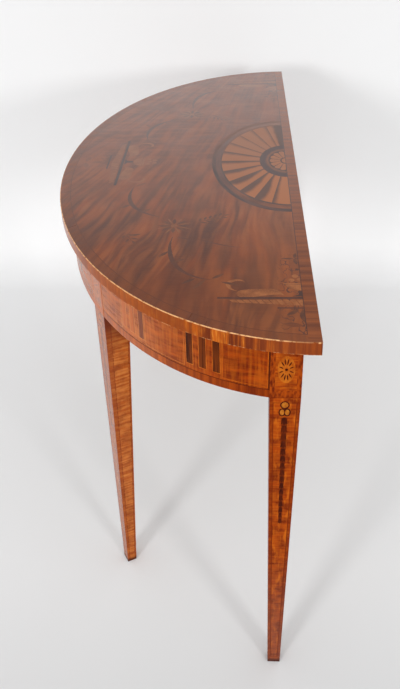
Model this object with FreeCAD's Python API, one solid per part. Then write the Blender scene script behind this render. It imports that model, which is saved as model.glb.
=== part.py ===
import FreeCAD, Part
import math
import os

# Half-elliptical side table: marquetry top, brick-built curved frieze and four tapered legs.
# Millimetres. The feet stand on z = 0, the straight back faces +Y and the curved front faces -Y.

Vec = FreeCAD.Vector
os.makedirs("parts", exist_ok=True)

# Overall sizes
table_width = 1500.0
table_depth = 520.0
table_height = 816.0
top_thickness = 23.0
frieze_height = 102.0
front_overhang = 20.0
back_overhang = 25.0
end_overhang = 27.0

# Veneers, bands and strings
veneer_thickness = 1.5
glue_line = 0.15
string_width = 1.2
back_band_width = 21.0
rim_band_width = 20.0
frieze_band_height = 15.0
block_band_width = 8.0
worn_arris_radius = 0.8

# Boards under the veneer of the top
back_board_width = 190.0
front_board_width = 150.0

# Legs
leg_width = 51.0
leg_depth = 51.0
foot_width = 25.0
foot_depth = 21.0
front_leg_spacing = 905.0

# Frame joinery
rail_thickness = 24.0
back_rail_thickness = 22.0
course_count = 4
tenon_first_course = 1
tenon_course_count = 2
brick_length = 200.0
tenon_thickness = 9.0
tenon_length = 22.0
brace_width = 22.0
brace_height = 50.0
housing_depth = 8.0
corner_block_size = 25.0
corner_block_height = 70.0
glue_block_size = 16.0
glue_block_length = 50.0

# Pocket screws that hold the top down
screw_shank_radius = 2.2
screw_head_radius = 4.5
screw_head_height = 3.0
screw_seat_drop = 32.0
screw_bite = 14.0
screw_pocket_radius = 6.5
screw_pocket_length = 60.0
screw_tilt_degrees = 18.0
back_screw_count = 4
back_screw_spacing = 330.0

# Frieze inlay
flute_count = 3
flute_width = 13.0
flute_pitch = 26.0
flute_setback = 85.0
flute_top_drop = 15.0
flute_height = 60.0
panel_margin = 4.0
panel_top_drop = 9.0

# Fan at the middle of the back edge
fan_half_width = 280.0
fan_depth = 166.0
fan_wedge_count = 12
fan_ray_count = 7
fan_gap_share = 0.012
fan_ray_gap_share = 0.07
fan_wedge_start_share = 0.35
fan_wedge_end_share = 0.87
fan_border_start_share = 0.89
fan_border_end_share = 0.95
fan_ring_inner_share = 0.23
fan_ring_outer_share = 0.335
fan_ray_start_share = 0.07
fan_ray_end_share = 0.195
fan_ray_crown_share = 0.212
fan_hub_share = 0.05

# Scrolling foliage, right half: shares of half the width and of the depth, from the back's middle
outer_scroll_shares = [(0.515, 0.480), (0.560, 0.487), (0.605, 0.483), (0.655, 0.467), (0.702, 0.430),
                       (0.731, 0.380), (0.744, 0.325)]
inner_scroll_shares = [(0.190, 0.672), (0.250, 0.682), (0.300, 0.673), (0.337, 0.651), (0.372, 0.611),
                       (0.396, 0.563), (0.407, 0.535)]
tendril_shares = [(0.534, 0.400), (0.551, 0.347), (0.569, 0.296), (0.580, 0.224)]
hook_shares = [(0.531, 0.473), (0.527, 0.445), (0.540, 0.424), (0.558, 0.430)]
scroll_thickness = 9.0
tendril_thickness = 3.0
scroll_steps = 12
leaf_end_shares = [((0.742, 0.352), (0.787, 0.392)), ((0.735, 0.385), (0.762, 0.430)),
                   ((0.738, 0.330), (0.713, 0.292)), ((0.752, 0.300), (0.769, 0.240)),
                   ((0.505, 0.600), (0.514, 0.642)), ((0.195, 0.668), (0.166, 0.626)),
                   ((0.320, 0.668), (0.343, 0.700)), ((0.375, 0.620), (0.350, 0.585)),
                   ((0.600, 0.488), (0.630, 0.520)), ((0.660, 0.470), (0.640, 0.430))]
leaf_width = 7.5
inlay_gap = 1.0
flower_centre_shares = (0.457, 0.484)
flower_petal_count = 8
flower_petal_length = 24.0
flower_petal_width = 7.0
flower_highlight_length = 30.0
flower_highlight_width = 4.0
flower_eye_radius = 6.0
wheat_base_shares = (0.437, 0.400)
wheat_tip_shares = (0.398, 0.305)
wheat_pair_count = 5
wheat_grain_length = 15.0
wheat_grain_width = 5.0
wheat_stem_width = 2.4
sprig_base_shares = (0.497, 0.662)
sprig_tip_shares = (0.541, 0.627)
sprig_pair_count = 2
band_sprig_share = 0.64
band_sprig_height = 24.0
band_sprig_half_width = 22.0
band_sprig_leaf_width = 6.0

# Tazza group: whole at the front's middle, halved by the back band at each end
group_half_length = 139.0
front_group_share = 0.757
end_group_share = 0.824
plinth_bar_thickness = 6.0
rope_width = 19.0
rope_end_width = 8.0
rope_clearance = 3.0
rope_lozenge_count = 11
rope_lozenge_pitch = 11.0
rope_lozenge_gap = 2.0
rope_slant = 7.0
lower_bar_thickness = 3.5
lower_bar_drop_share = 0.215
lower_bar_half_share = 0.30
pendant_shares = [((0, -0.26), (0, -0.53), 0.11), ((0.06, -0.27), (0.20, -0.39), 0.06),
                  ((-0.06, -0.27), (-0.20, -0.39), 0.06), ((0.03, -0.61), (0.25, -0.57), 0.09),
                  ((-0.03, -0.61), (-0.25, -0.57), 0.09)]
tazza_foot_shares = [(-0.12, 0.035), (0.12, 0.035), (0.04, 0.08), (0.03, 0.17), (-0.03, 0.17),
                     (-0.04, 0.08)]
tazza_bowl_shares = [(-0.04, 0.18), (0.04, 0.18), (0.14, 0.22), (0.19, 0.32), (-0.19, 0.32),
                     (-0.14, 0.22)]
tazza_lip_shares = [(-0.21, 0.33), (0.21, 0.33), (0.21, 0.36), (-0.21, 0.36)]
fruit_place_shares = [(0, 0.44), (0.11, 0.43), (-0.11, 0.43), (0.06, 0.53), (-0.06, 0.53)]
fruit_radius_share = 0.04
acanthus_outline_shares = [(0.21, 0.05), (0.48, 0.045), (0.76, 0.05), (0.77, 0.13), (0.66, 0.20),
                           (0.45, 0.215), (0.27, 0.17)]
acanthus_curl_shares = [(0.76, 0.17), (0.86, 0.25), (0.86, 0.38), (0.74, 0.43), (0.67, 0.36)]
acanthus_curl_thickness = 8.0

# Leg inlay
patera_width = 28.0
patera_height = 52.0
patera_centre_drop = 46.0
patera_petal_count = 12
patera_petal_start_share = 0.34
patera_petal_end_share = 0.86
patera_petal_width = 2.3
patera_eye_radius = 2.4
trefoil_disc_radius = 5.5
trefoil_disc_drop = 14.0
trefoil_drop_width = 7.0
trefoil_drop_height = 11.5
trefoil_drop_drop = 29.0
trefoil_drop_spread = 4.2
trefoil_border = 2.4
trefoil_knot_radius = 3.2
trefoil_knot_drop = 22.0
husk_count = 16
husk_start_drop = 39.5
husk_height = 16.5
husk_width = 11.0
husk_gap = 0.6
husk_height_shrink_share = 0.985
husk_width_shrink_share = 0.965
husk_crown_share = 0.26
husk_shoulder_shares = (0.42, -0.40)
husk_outline_shares = [(-0.5, -0.86), (-0.22, -0.78), (0, -1.0), (0.22, -0.78), (0.5, -0.86)]
leg_string_top_drop = 9.0
leg_string_foot_rise = 16.0
leg_string_inset = 5.5

# Room for cuts to run past the faces they cut
overrun = 5.0
brick_wedge_reach_share = 2.0
seat_tolerance = 0.01
half_pitch_share = 0.5

# Worked out from the sizes above
half_width = table_width / 2
back_y = table_depth / 2
top_underside = table_height - top_thickness
core_top = table_height - veneer_thickness
frieze_bottom = top_underside - frieze_height
course_height = frieze_height / course_count
tenon_low = frieze_bottom + tenon_first_course * course_height
tenon_height = tenon_course_count * course_height
band_front_y = back_y - back_band_width
field_back_y = band_front_y - string_width
rim_band_inset = veneer_thickness + rim_band_width
field_inset = rim_band_inset + string_width
rail_outer_inset = front_overhang + veneer_thickness + glue_line
rail_middle_inset = rail_outer_inset + rail_thickness / 2
rail_inner_inset = rail_outer_inset + rail_thickness
back_leg_y = back_y - back_overhang - leg_width / 2
frieze_back_y = back_leg_y - leg_width / 2
back_leg_x = half_width - end_overhang
back_rail_front_y = back_y - back_overhang - back_rail_thickness
front_leg_angle = math.acos(front_leg_spacing / 2 / (half_width - front_overhang))
flute_group_width = (flute_count - 1) * flute_pitch + flute_width
flute_high = top_underside - flute_top_drop
flute_low = flute_high - flute_height
panel_low = frieze_bottom + frieze_band_height + string_width + panel_margin
panel_high = top_underside - panel_top_drop


# Shapes that follow the curved rim: angles run from the right end, round the front, to the left end
def rim_point(inset, angle, height=0):
    x = (half_width - inset) * math.cos(angle)
    y = back_y - (table_depth - inset) * math.sin(angle)
    return Vec(x, y, height)


def rim_arc(inset, start, end, height=0):
    ellipse = Part.Ellipse(Vec(0, back_y, height), half_width - inset, table_depth - inset)
    return Part.ArcOfEllipse(ellipse, math.tau - end, math.tau - start).toShape()


def solid_from(edges, rise):
    return Part.Face(Part.Wire(Part.sortEdges(edges)[0])).extrude(rise)


def rim_piece(outer_inset, inner_inset, start, end, low, high):
    """Curved strip between two insets of the rim and two angles."""
    edges = [rim_arc(outer_inset, start, end, low), rim_arc(inner_inset, start, end, low)]
    for angle in (start, end):
        ends = [rim_point(inset, angle, low) for inset in (outer_inset, inner_inset)]
        edges.append(Part.LineSegment(*ends).toShape())
    return solid_from(edges, Vec(0, 0, high - low))


def half_plan(inset, low, high):
    """Half-elliptical plate, as wide as the rim moved in by an inset."""
    ends = [rim_point(inset, angle, low) for angle in (0, math.pi)]
    edges = [rim_arc(inset, 0, math.pi, low), Part.LineSegment(*ends).toShape()]
    return solid_from(edges, Vec(0, 0, high - low))


def depth_slab(front, back, low, high):
    """Block right across the table between two depths."""
    width = table_width + 2 * overrun
    return Part.makeBox(width, back - front, high - low, Vec(-width / 2, front, low))


frieze_line = rim_arc(front_overhang, 0, math.pi)


def angle_at(distance):
    """Rim angle at a distance along the frieze face from its left end."""
    return math.tau - frieze_line.getParameterByLength(distance)


def distance_at(angle):
    return rim_arc(front_overhang, angle, math.pi).Length


def rim_place(angle, inset, height=0):
    """Placement with +X square to the rim and facing outwards."""
    across = math.cos(angle) / (half_width - inset)
    forward = -math.sin(angle) / (table_depth - inset)
    turn = math.degrees(math.atan2(forward, across))
    return FreeCAD.Placement(rim_point(inset, angle, height), FreeCAD.Rotation(Vec(0, 0, 1), turn))


def placed(shape, place):
    copy = shape.copy()
    copy.Placement = place.multiply(shape.Placement)
    return copy


def save(name, solids):
    Part.makeCompound(solids).exportStep("parts/" + name + ".step")


# Flat inlays: drawn on z = 0 and one veneer deep
inlay_depth = Vec(0, 0, -veneer_thickness)


def polygon_inlay(points):
    return Part.Face(Part.makePolygon(points + points[:1])).extrude(inlay_depth)


def disc_inlay(centre, radius):
    return solid_from([Part.Circle(centre, Vec(0, 0, 1), radius).toShape()], inlay_depth)


def bar_inlay(left, right, low, high):
    return polygon_inlay([Vec(left, low, 0), Vec(right, low, 0), Vec(right, high, 0), Vec(left, high, 0)])


def leaf_inlay(start, tip, width):
    """Pointed leaf made of two arcs."""
    along = tip - start
    side = Vec(-along.y, along.x, 0).normalize() * (width / 2)
    middle = (start + tip) / 2
    edges = [Part.Arc(start, middle + side, tip).toShape(), Part.Arc(tip, middle - side, start).toShape()]
    return solid_from(edges, inlay_depth)


def stem_inlay(start, tip, width):
    """Straight stem, widest half-way and pointed at both ends."""
    along = tip - start
    side = Vec(-along.y, along.x, 0).normalize() * (width / 2)
    middle = (start + tip) / 2
    return polygon_inlay([start, middle - side, tip, middle + side])


def rounded_inlay(points):
    outline = Part.BSplineCurve()
    outline.interpolate(points, PeriodicFlag=True)
    return solid_from([outline.toShape()], inlay_depth)


def scroll_inlay(points, thickness):
    """Curl through some points, swelling in the middle and pointed at both ends."""
    spine = Part.BSplineCurve()
    spine.interpolate(points)
    sides = {1: [], -1: []}
    for step in range(scroll_steps + 1):
        share = step / scroll_steps
        place = spine.FirstParameter + share * (spine.LastParameter - spine.FirstParameter)
        along = spine.tangent(place)[0]
        reach = thickness / 2 * math.sin(math.pi * share)
        for side, side_points in sides.items():
            side_points.append(spine.value(place) + Vec(-along.y, along.x, 0) * (side * reach))
    edges = []
    for side_points in sides.values():
        side_points[0] = points[0]
        side_points[-1] = points[-1]
        edge = Part.BSplineCurve()
        edge.interpolate(side_points)
        edges.append(edge.toShape())
    return solid_from(edges, inlay_depth)


# Legs: local +X faces outwards from the middle of the outer face, which stands upright
def leg_blank():
    block = Part.makeBox(leg_depth, leg_width, frieze_height, Vec(-leg_depth, -leg_width / 2, frieze_bottom))
    sections = []
    for depth, width, height in ((foot_depth, foot_width, 0), (leg_depth, leg_width, frieze_bottom)):
        corners = [Vec(-x, y, height) for x, y in
                   ((0, -width / 2), (0, width / 2), (depth, width / 2), (depth, -width / 2))]
        sections.append(Part.makePolygon(corners + corners[:1]))
    return block.fuse(Part.makeLoft(sections, True, True)).removeSplitter()


leg_places = {
    "front_left_leg": rim_place(math.pi - front_leg_angle, front_overhang),
    "front_right_leg": rim_place(front_leg_angle, front_overhang),
    "back_left_leg": FreeCAD.Placement(Vec(-back_leg_x, back_leg_y, 0), FreeCAD.Rotation(Vec(0, 0, 1), 180)),
    "back_right_leg": FreeCAD.Placement(Vec(back_leg_x, back_leg_y, 0), FreeCAD.Rotation()),
}

# Turns a flat inlay to lie in the outer face of a leg
face_turn = FreeCAD.Placement(Vec(0, 0, 0), FreeCAD.Rotation(Vec(0, 1, 0), Vec(0, 0, 1), Vec(1, 0, 0)))


def side_tenon(middle, side):
    """Tenon of a curved rail, entering the leg from one side."""
    start = leg_width / 2 - tenon_length if side > 0 else -leg_width / 2
    corner = Vec(middle - tenon_thickness / 2, start, tenon_low)
    return Part.makeBox(tenon_thickness, tenon_length, tenon_height, corner)


def back_tenon(side):
    """Tenon of the back rail, entering the leg from its inner face."""
    middle = side * (leg_width - back_rail_thickness) / 2
    corner = Vec(-leg_depth, middle - tenon_thickness / 2, tenon_low)
    return Part.makeBox(tenon_length, tenon_thickness, tenon_height, corner)


rail_end_angle = math.asin((back_y - frieze_back_y) / (table_depth - rail_middle_inset))
back_tenon_middle = rim_point(rail_middle_inset, rail_end_angle).x - back_leg_x
front_tenon_middle = front_overhang - rail_middle_inset
frieze_tenons = [
    placed(side_tenon(back_tenon_middle, 1), leg_places["back_left_leg"]),
    placed(side_tenon(back_tenon_middle, -1), leg_places["back_right_leg"]),
]
for leg_name in ("front_left_leg", "front_right_leg"):
    for side in (1, -1):
        frieze_tenons.append(placed(side_tenon(front_tenon_middle, side), leg_places[leg_name]))
back_tenons = [
    placed(back_tenon(-1), leg_places["back_left_leg"]),
    placed(back_tenon(1), leg_places["back_right_leg"]),
]


def leg_string_frame(inset):
    """Four-sided outline on the tapered face, set in from its edges."""
    low = leg_string_foot_rise + inset - leg_string_inset
    high = frieze_bottom - leg_string_top_drop - inset + leg_string_inset
    corners = []
    for height, side in ((low, -1), (low, 1), (high, 1), (high, -1)):
        edge = (foot_width + (leg_width - foot_width) * height / frieze_bottom) / 2
        corners.append(Vec(side * (edge - inset), height, 0))
    return polygon_inlay(corners)


def leg_stringing():
    frame = leg_string_frame(leg_string_inset).cut(leg_string_frame(leg_string_inset + string_width))
    frame = frame.cut(trefoil_shapes(trefoil_border))
    line = bar_inlay(-leg_width / 2, leg_width / 2, frieze_bottom, frieze_bottom + string_width)
    return [frame, line]


def block_bands():
    low = frieze_bottom + string_width
    outer = leg_width / 2
    inner = outer - block_band_width
    return [
        bar_inlay(-outer, -inner, low, top_underside),
        bar_inlay(inner, outer, low, top_underside),
        bar_inlay(-inner, inner, low, frieze_bottom + frieze_band_height),
    ]


def patera_petals():
    centre = Vec(0, top_underside - patera_centre_drop, 0)
    pieces = [disc_inlay(centre, patera_eye_radius)]
    for index in range(patera_petal_count):
        angle = math.tau * (index + half_pitch_share) / patera_petal_count
        reach = Vec(patera_width / 2 * math.cos(angle), patera_height / 2 * math.sin(angle), 0)
        start = centre + reach * patera_petal_start_share
        tip = centre + reach * patera_petal_end_share
        pieces.append(leaf_inlay(start, tip, patera_petal_width))
    return pieces


def tall_oval_inlay(centre, width, height):
    oval = Part.Ellipse(centre + Vec(0, height / 2, 0), centre + Vec(width / 2, 0, 0), centre)
    return solid_from([oval.toShape()], inlay_depth)


def patera_ground():
    centre = Vec(0, top_underside - patera_centre_drop, 0)
    return tall_oval_inlay(centre, patera_width, patera_height).cut(patera_petals()).Solids


def trefoil_shapes(border):
    """Disc over two upright drops, each grown by a border."""
    disc_centre = Vec(0, frieze_bottom - trefoil_disc_drop, 0)
    shapes = [disc_inlay(disc_centre, trefoil_disc_radius + border)]
    for side in (1, -1):
        drop_centre = Vec(side * trefoil_drop_spread, frieze_bottom - trefoil_drop_drop, 0)
        shapes.append(tall_oval_inlay(drop_centre, trefoil_drop_width + 2 * border,
                                      trefoil_drop_height + 2 * border))
    return shapes


def trefoil_border_piece():
    knot = disc_inlay(Vec(0, frieze_bottom - trefoil_knot_drop, 0), trefoil_knot_radius)
    return knot.multiFuse(trefoil_shapes(trefoil_border)).cut(trefoil_shapes(0)).removeSplitter().Solids


def husk(top, height, width):
    """Bell-shaped husk with a flat crown and a notched lower edge."""
    lower = [Vec(x * width, top + y * height, 0) for x, y in husk_outline_shares]
    shoulder_x, shoulder_y = husk_shoulder_shares
    crown = [Vec(side * husk_crown_share * width, top, 0) for side in (-1, 1)]
    left = Vec(-shoulder_x * width, top + shoulder_y * height, 0)
    right = Vec(shoulder_x * width, top + shoulder_y * height, 0)
    edges = [Part.Arc(crown[0], left, lower[0]).toShape(), Part.Arc(lower[-1], right, crown[1]).toShape(),
             Part.LineSegment(*crown).toShape()]
    for first, second in zip(lower, lower[1:]):
        edges.append(Part.LineSegment(first, second).toShape())
    return solid_from(edges, inlay_depth)


def husk_chain():
    pieces = []
    top = frieze_bottom - husk_start_drop
    height = husk_height
    width = husk_width
    for index in range(husk_count):
        pieces.append(husk(top, height, width))
        top -= height + husk_gap
        height *= husk_height_shrink_share
        width *= husk_width_shrink_share
    return pieces


def in_face(pieces):
    return [placed(piece, face_turn) for piece in pieces]


leg_inlays = {
    "patera": in_face(patera_ground()),
    "trefoil": in_face(trefoil_shapes(0)),
    "husks": in_face(patera_petals() + trefoil_border_piece() + husk_chain()),
    "stringing": in_face(leg_stringing()),
}
leg_bands = in_face(block_bands())
inlaid_leg = leg_blank().cut(leg_bands)
for pieces in leg_inlays.values():
    inlaid_leg = inlaid_leg.cut(pieces)
placed_bands = []
for leg_name, place in leg_places.items():
    save(leg_name, placed(inlaid_leg, place).cut(frieze_tenons + back_tenons).Solids)
    for inlay_name, pieces in leg_inlays.items():
        save(leg_name + "_" + inlay_name, [placed(piece, place) for piece in pieces])
    placed_bands += [placed(piece, place) for piece in leg_bands]
save("leg_block_crossbands", placed_bands)

# Pocket screws: local +X faces outwards from the middle of a rail's top edge
screw_axis = Vec(math.sin(math.radians(screw_tilt_degrees)), 0, math.cos(math.radians(screw_tilt_degrees)))
screw_seat = screw_axis * -screw_seat_drop


def screw():
    head_base = screw_seat - screw_axis * screw_head_height
    head = Part.makeCylinder(screw_head_radius, screw_head_height, head_base, screw_axis)
    shank = Part.makeCylinder(screw_shank_radius, screw_seat_drop + screw_bite, screw_seat, screw_axis)
    return head.fuse(shank).removeSplitter()


def screw_pocket():
    return Part.makeCylinder(screw_pocket_radius, screw_pocket_length, screw_seat, screw_axis * -1)


right_back_distance = distance_at(math.asin((back_y - frieze_back_y) / (table_depth - front_overhang)))
frieze_length = frieze_line.Length
front_leg_distance = distance_at(math.pi - front_leg_angle)
frieze_spans = {
    "left": (frieze_length - right_back_distance, front_leg_distance - leg_width / 2),
    "centre": (front_leg_distance + leg_width / 2, frieze_length - front_leg_distance - leg_width / 2),
    "right": (frieze_length - front_leg_distance + leg_width / 2, right_back_distance),
}
screw_span_shares = {"left": [0.62], "centre": [0.30, 0.70], "right": [0.38]}
glue_block_span_shares = {"left": [0.22, 0.78], "centre": [0.12, 0.42, 0.58, 0.88], "right": [0.22, 0.78]}


def along_span(section, share):
    start, end = frieze_spans[section]
    return start + share * (end - start)


screw_places = []
for section, shares in screw_span_shares.items():
    for share in shares:
        angle = angle_at(along_span(section, share))
        screw_places.append(rim_place(angle, rail_middle_inset, top_underside))
back_rail_middle_y = back_rail_front_y + back_rail_thickness / 2
for index in range(back_screw_count):
    steps_out = index - (back_screw_count - 1) / 2
    spot = Vec(steps_out * back_screw_spacing, back_rail_middle_y, top_underside)
    screw_places.append(FreeCAD.Placement(spot, FreeCAD.Rotation(Vec(0, 0, 1), 90)))
screws = [placed(screw(), place) for place in screw_places]
screw_pockets = [placed(screw_pocket(), place) for place in screw_places]
save("top_fixing_screws", screws)

# Straight members of the frame
brace_front_y = back_y - (table_depth - rail_inner_inset) - housing_depth
brace_length = back_rail_front_y + housing_depth - brace_front_y
brace_corner = Vec(-brace_width / 2, brace_front_y, top_underside - brace_height)
centre_brace = Part.makeBox(brace_width, brace_length, brace_height, brace_corner)
save("centre_brace", [centre_brace])

back_rail_length = 2 * (back_leg_x - leg_depth)
back_rail_corner = Vec(-back_rail_length / 2, back_rail_front_y, frieze_bottom)
back_rail = Part.makeBox(back_rail_length, back_rail_thickness, frieze_height, back_rail_corner)
back_rail = back_rail.multiFuse(back_tenons).removeSplitter().cut([centre_brace] + screws + screw_pockets)
save("back_rail", back_rail.Solids)

corner_blocks = []
for side in (1, -1):
    corner = Vec(side * (back_leg_x - leg_depth), back_rail_front_y, top_underside - corner_block_height)
    points = [corner, corner - Vec(side * corner_block_size, 0, 0), corner - Vec(0, corner_block_size, 0)]
    block_face = Part.Face(Part.makePolygon(points + points[:1]))
    corner_blocks.append(block_face.extrude(Vec(0, 0, corner_block_height)))
save("back_corner_blocks", corner_blocks)

glue_blocks = []
for section, shares in glue_block_span_shares.items():
    for share in shares:
        middle = along_span(section, share)
        start = angle_at(middle + glue_block_length / 2)
        end = angle_at(middle - glue_block_length / 2)
        inner = rail_inner_inset + glue_block_size
        low = top_underside - glue_block_size
        glue_blocks.append(rim_piece(rail_inner_inset, inner, start, end, low, top_underside))
save("top_glue_blocks", glue_blocks)


# Curved frieze: three rails built up of staggered bricks, tenoned into the legs
def frieze_ring(outer_inset, inner_inset, low, high):
    """Left, centre and right stretches of a curved strip, stopped by the legs."""
    ring = rim_piece(outer_inset, inner_inset, 0, math.pi, low, high)
    ring = ring.common(depth_slab(-back_y - overrun, frieze_back_y, low, high))
    ring = ring.cut([placed(leg_blank(), place) for place in leg_places.values()])
    stretches = sorted(ring.Solids, key=lambda solid: solid.CenterOfMass.x)
    return dict(zip(("left", "centre", "right"), stretches))


def brick_ends(section, course):
    """Distances of a course's upright joints, staggered from one course to the next."""
    start, end = frieze_spans[section]
    count = max(1, round((end - start) / brick_length))
    shift = half_pitch_share if course % 2 else 0
    joints = [start + (end - start) * (index + shift) / count for index in range(count)]
    inner_joints = [joint for joint in joints if joint > start]
    return [start - leg_width / 2] + inner_joints + [end + leg_width / 2]


def brick_block(start, end, low):
    """Wedge from the middle of the back edge that takes one brick out of a rail."""
    centre = Vec(0, back_y, low)
    points = [centre]
    for distance in (start, end):
        to_face = rim_point(front_overhang, angle_at(distance), low) - centre
        points.append(centre + to_face * brick_wedge_reach_share)
    return Part.Face(Part.makePolygon(points + points[:1])).extrude(Vec(0, 0, course_height))


def frieze_bricks(section, rail):
    bricks = []
    for course in range(course_count):
        ends = brick_ends(section, course)
        for start, end in zip(ends, ends[1:]):
            brick = rail.common(brick_block(start, end, frieze_bottom + course * course_height))
            bricks += brick.Solids
    return bricks


for section, rail in frieze_ring(rail_outer_inset, rail_inner_inset, frieze_bottom, top_underside).items():
    own_tenons = [tenon for tenon in frieze_tenons if rail.distToShape(tenon)[0] < seat_tolerance]
    rail = rail.multiFuse(own_tenons).removeSplitter().cut([centre_brace] + screws + screw_pockets)
    save(section + "_frieze_bricks", frieze_bricks(section, rail))


# Frieze veneers
def frieze_patch(start, end, low, high):
    """Patch of frieze veneer between two distances from the left end."""
    outer = front_overhang
    return rim_piece(outer, outer + veneer_thickness, angle_at(end), angle_at(start), low, high)


def frieze_frame(start, end, low, high):
    """String line round a patch."""
    edge = string_width
    outside = frieze_patch(start - edge, end + edge, low - edge, high + edge)
    return outside.cut(frieze_patch(start, end, low, high))


def flute_starts(section):
    start, end = frieze_spans[section]
    starts = []
    for first in (start + flute_setback, end - flute_setback - flute_group_width):
        starts += [first + index * flute_pitch for index in range(flute_count)]
    return starts


def panel_spans(section):
    start, end = frieze_spans[section]
    inner = flute_setback - string_width - panel_margin
    far = flute_setback + flute_group_width + string_width + panel_margin
    return [(start + panel_margin, start + inner), (start + far, end - far),
            (end - inner, end - panel_margin)]


band_high = frieze_bottom + frieze_band_height
veneer_low = band_high + string_width
veneer_inset = front_overhang + veneer_thickness
frieze_veneers = frieze_ring(front_overhang, veneer_inset, veneer_low, top_underside)
flutes = []
frames = []
for section, veneer in frieze_veneers.items():
    section_flutes = [frieze_patch(start, start + flute_width, flute_low, flute_high)
                      for start in flute_starts(section)]
    section_frames = [frieze_frame(start, start + flute_width, flute_low, flute_high)
                      for start in flute_starts(section)]
    for start, end in panel_spans(section):
        section_frames.append(frieze_frame(start, end, panel_low, panel_high))
    save(section + "_frieze_veneer", veneer.cut(section_flutes + section_frames).Solids)
    flutes += section_flutes
    frames += section_frames
save("frieze_flutes", flutes)
save("frieze_stringing", frames)
for section, band in frieze_ring(front_overhang, veneer_inset, frieze_bottom, band_high).items():
    save(section + "_frieze_crossband", [band])
save("frieze_lower_string", list(frieze_ring(front_overhang, veneer_inset, band_high, veneer_low).values()))

# Top: boards, edge banding and crossbands
core = half_plan(veneer_thickness, top_underside, core_top).cut(screws)
board_lines = [-back_y - overrun, -back_y + front_board_width, back_y - back_board_width, back_y + overrun]
for name, front, back in zip(("front", "middle", "back"), board_lines, board_lines[1:]):
    board = core.common(depth_slab(front, back, top_underside, core_top))
    save(name + "_top_board", board.Solids)

edge_banding = rim_piece(0, veneer_thickness, 0, math.pi, top_underside, table_height)
worn_edges = [edge for edge in edge_banding.Edges
              if edge.BoundBox.ZMin > core_top and edge.BoundBox.XMax > half_width - seat_tolerance
              and edge.BoundBox.XMin < seat_tolerance - half_width]
save("top_edge_banding", edge_banding.makeFillet(worn_arris_radius, worn_edges).Solids)

veneer_sheet = half_plan(veneer_thickness, core_top, table_height)
band_line = depth_slab(band_front_y, back_y + overrun, core_top, table_height)
string_line = depth_slab(field_back_y, back_y + overrun, core_top, table_height)
save("top_back_crossband", veneer_sheet.common(band_line).Solids)
inside_rim_band = half_plan(rim_band_inset, core_top, table_height)
save("top_rim_crossband", veneer_sheet.cut([band_line, inside_rim_band]).Solids)
field_blank = half_plan(field_inset, core_top, table_height).cut(string_line)
save("top_stringing", inside_rim_band.cut([band_line, field_blank]).Solids)


# Fan: an elliptical sunburst whose angles are stretched like the rim's
def fan_point(reach, angle):
    x = fan_half_width * reach * math.cos(angle)
    y = field_back_y - fan_depth * reach * math.sin(angle)
    return Vec(x, y, 0)


def fan_ellipse(reach):
    ellipse = Part.Ellipse(Vec(0, field_back_y, 0), fan_half_width * reach, fan_depth * reach)
    return Part.ArcOfEllipse(ellipse, math.pi, math.tau).toShape()


def fan_band(inner, outer):
    """Half-elliptical piece between two shares of the fan, or down to its base line."""
    edges = [fan_ellipse(outer)]
    if inner:
        edges.append(fan_ellipse(inner))
        for angle in (0, math.pi):
            edges.append(Part.LineSegment(fan_point(inner, angle), fan_point(outer, angle)).toShape())
    else:
        edges.append(Part.LineSegment(fan_point(outer, 0), fan_point(outer, math.pi)).toShape())
    return solid_from(edges, inlay_depth)


def fan_rays(count, gap, start, end, crown):
    """Rays between two shares of the fan, with outer ends that rise to a third share half-way."""
    rays = []
    step = math.pi / count
    for index in range(count):
        low = (index + gap) * step
        high = (index + 1 - gap) * step
        middle = (low + high) / 2
        edges = [Part.Arc(fan_point(end, low), fan_point(crown, middle), fan_point(end, high)).toShape(),
                 Part.Arc(fan_point(start, low), fan_point(start, middle), fan_point(start, high)).toShape()]
        for angle in (low, high):
            edges.append(Part.LineSegment(fan_point(start, angle), fan_point(end, angle)).toShape())
        rays.append(solid_from(edges, inlay_depth))
    return rays


surface = FreeCAD.Placement(Vec(0, 0, table_height), FreeCAD.Rotation())
fan_pieces = {
    "fan_wedges": fan_rays(fan_wedge_count, fan_gap_share, fan_wedge_start_share, fan_wedge_end_share,
                           fan_wedge_end_share),
    "fan_border": [fan_band(fan_border_start_share, fan_border_end_share)],
    "fan_inner_ring": [fan_band(fan_ring_inner_share, fan_ring_outer_share)],
    "fan_centre_rays": fan_rays(fan_ray_count, fan_ray_gap_share, fan_ray_start_share, fan_ray_end_share,
                                fan_ray_crown_share) + [fan_band(0, fan_hub_share)],
}
fan_blank = placed(fan_band(0, 1), surface)
fan_ground = fan_blank
for node, pieces in fan_pieces.items():
    set_pieces = [placed(piece, surface) for piece in pieces]
    fan_ground = fan_ground.cut(set_pieces)
    save(node, set_pieces)
save("fan_ground", fan_ground.Solids)


# Marquetry in the field: each half mirrors the other
def field_point(x_share, y_share):
    return Vec(x_share * half_width, back_y - y_share * table_depth, 0)


def ear_inlays(base, tip, pair_count):
    """Pairs of grains along a stem, with one at its tip."""
    along = (tip - base).normalize()
    side = Vec(-along.y, along.x, 0)
    length = (tip - base).Length
    end_grain_start = tip + along * inlay_gap
    grains = [leaf_inlay(end_grain_start, end_grain_start + along * wheat_grain_length, wheat_grain_width)]
    for index in range(pair_count):
        start = base + along * (length * (index + half_pitch_share) / pair_count)
        for turn in (1, -1):
            foot = start + side * (turn * wheat_stem_width)
            grain_tip = foot + (along + side * turn) * (wheat_grain_length / math.sqrt(2))
            grains.append(leaf_inlay(foot, grain_tip, wheat_grain_width))
    return grains


def flower_inlays(length, width, shift):
    centre = field_point(*flower_centre_shares)
    petals = []
    for index in range(flower_petal_count):
        angle = math.tau * (index + shift) / flower_petal_count
        out = Vec(math.cos(angle), math.sin(angle), 0)
        start = centre + out * (flower_eye_radius + inlay_gap)
        petals.append(leaf_inlay(start, start + out * length, width))
    return petals


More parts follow.
